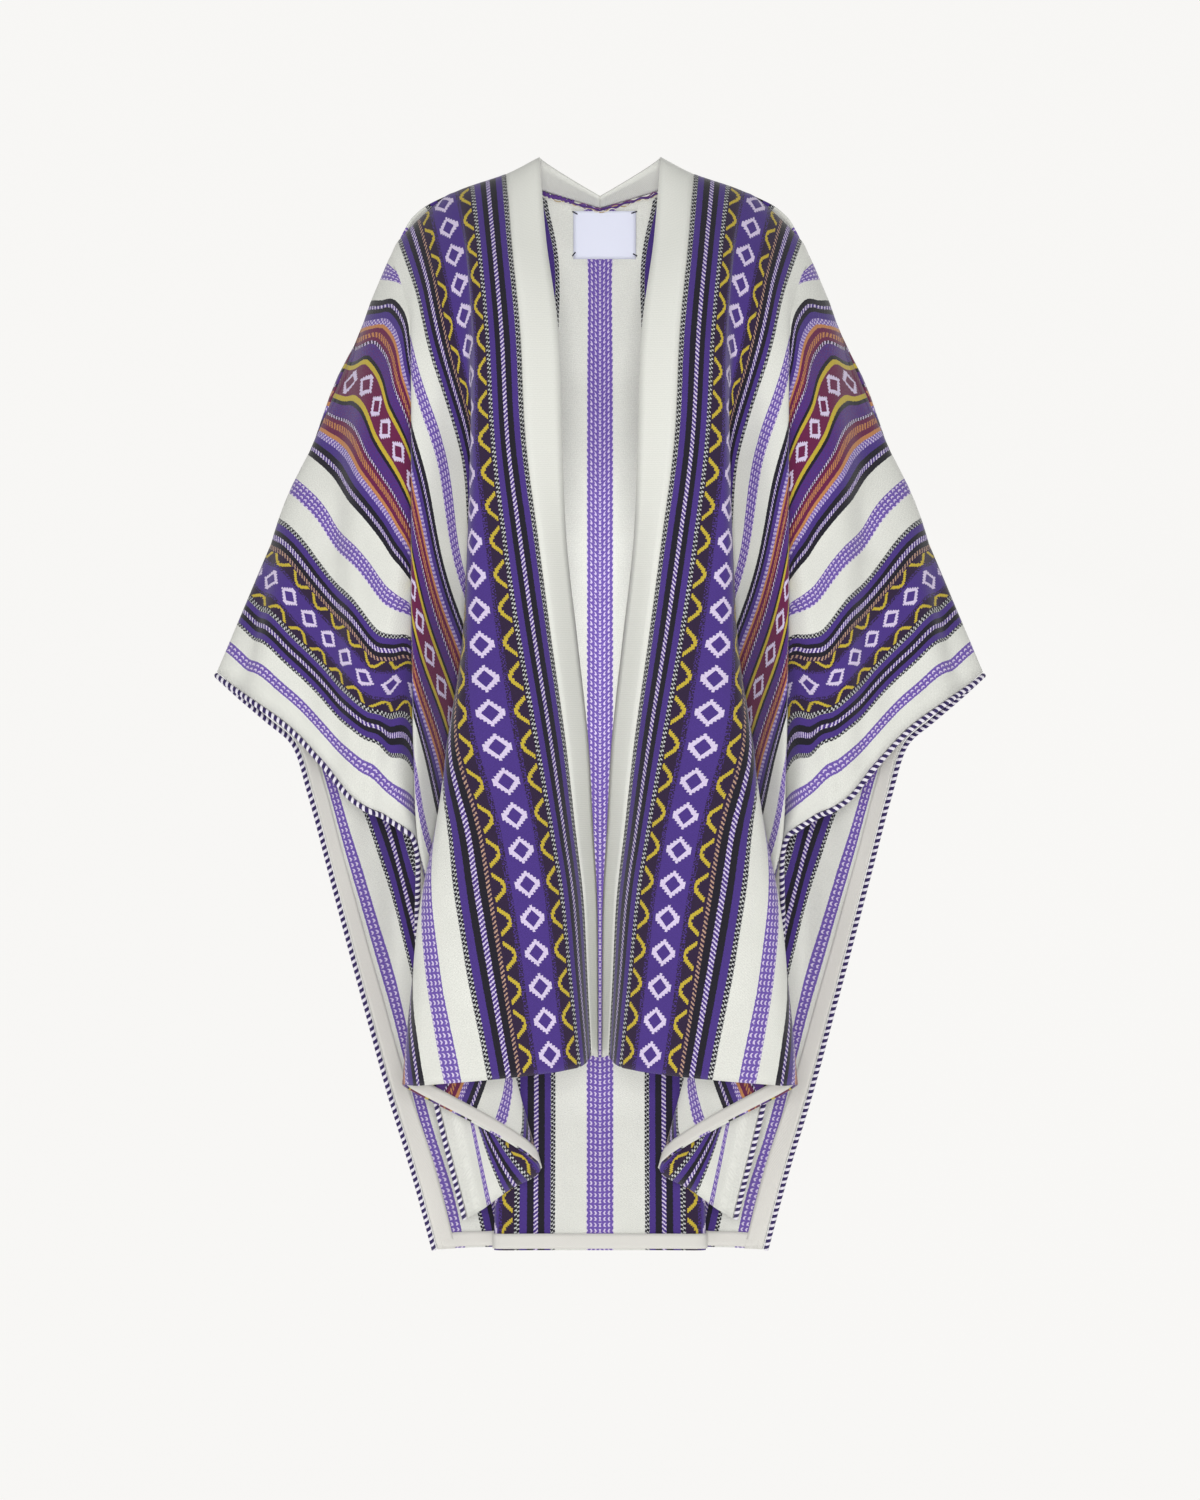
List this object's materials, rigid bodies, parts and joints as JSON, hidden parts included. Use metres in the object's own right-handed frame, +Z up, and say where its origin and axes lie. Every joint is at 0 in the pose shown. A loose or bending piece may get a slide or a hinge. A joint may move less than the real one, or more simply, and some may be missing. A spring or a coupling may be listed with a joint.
{
  "type": "blanket cape",
  "caption": "Open-front wool blanket cape with a neckband, draped sleeves without side seams, deep folds and bound side edges, held in its worn shape.",
  "frame": {"origin": "midway between the two neck points of the neckband, where the wearer's shoulders hold the cape", "axes": "+X towards the wearer's left, +Y towards the back, +Z up"},
  "size_m": [0.81, 0.3836, 1.164],
  "materials": {
    "striped_wool": "brushed wool jacquard, matte, stripes in violet, black, lavender, maroon, yellow and cream",
    "cream_wool": "plain brushed wool, matte",
    "twisted_piping": "twisted cord binding in violet and white",
    "label_satin": "smooth woven satin, bare"
  },
  "bodies": {
    "root": {"front_left": "striped_wool", "front_right": "striped_wool", "back": "striped_wool", "neckband_left": "cream_wool", "neckband_right": "cream_wool", "hem_facing_front_left": "cream_wool", "hem_facing_front_right": "cream_wool", "hem_facing_back": "cream_wool", "side_facing_back_left": "cream_wool", "side_facing_back_right": "cream_wool", "piping_front_left": "twisted_piping", "piping_front_right": "twisted_piping", "piping_back_left": "twisted_piping", "piping_back_right": "twisted_piping", "neck_label": "label_satin"}
  },
  "joints": []
}
